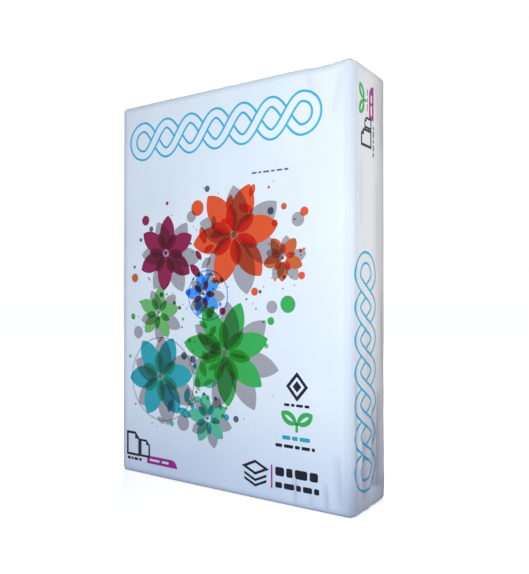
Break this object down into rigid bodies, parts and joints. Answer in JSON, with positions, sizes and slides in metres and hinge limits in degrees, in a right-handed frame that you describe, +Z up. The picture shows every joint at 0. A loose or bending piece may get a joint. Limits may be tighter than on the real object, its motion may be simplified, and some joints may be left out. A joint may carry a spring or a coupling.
{
  "type": "ream of paper",
  "caption": "Sealed ream of A4 copier paper in a printed wrapper with envelope-folded ends, standing on its short end.",
  "frame": {"origin": "middle of the underside, the folded bottom end that the pack stands on", "axes": "+Z up along the long side of the sheets, +X across the printed front to its right, +Y from the front to the seamed back"},
  "size_m": [0.2108, 0.0532, 0.2983],
  "materials": {
    "wrapper_paper": "coated, satin"
  },
  "bodies": {
    "root": {"wrapped_ream": "wrapper_paper"}
  },
  "joints": []
}
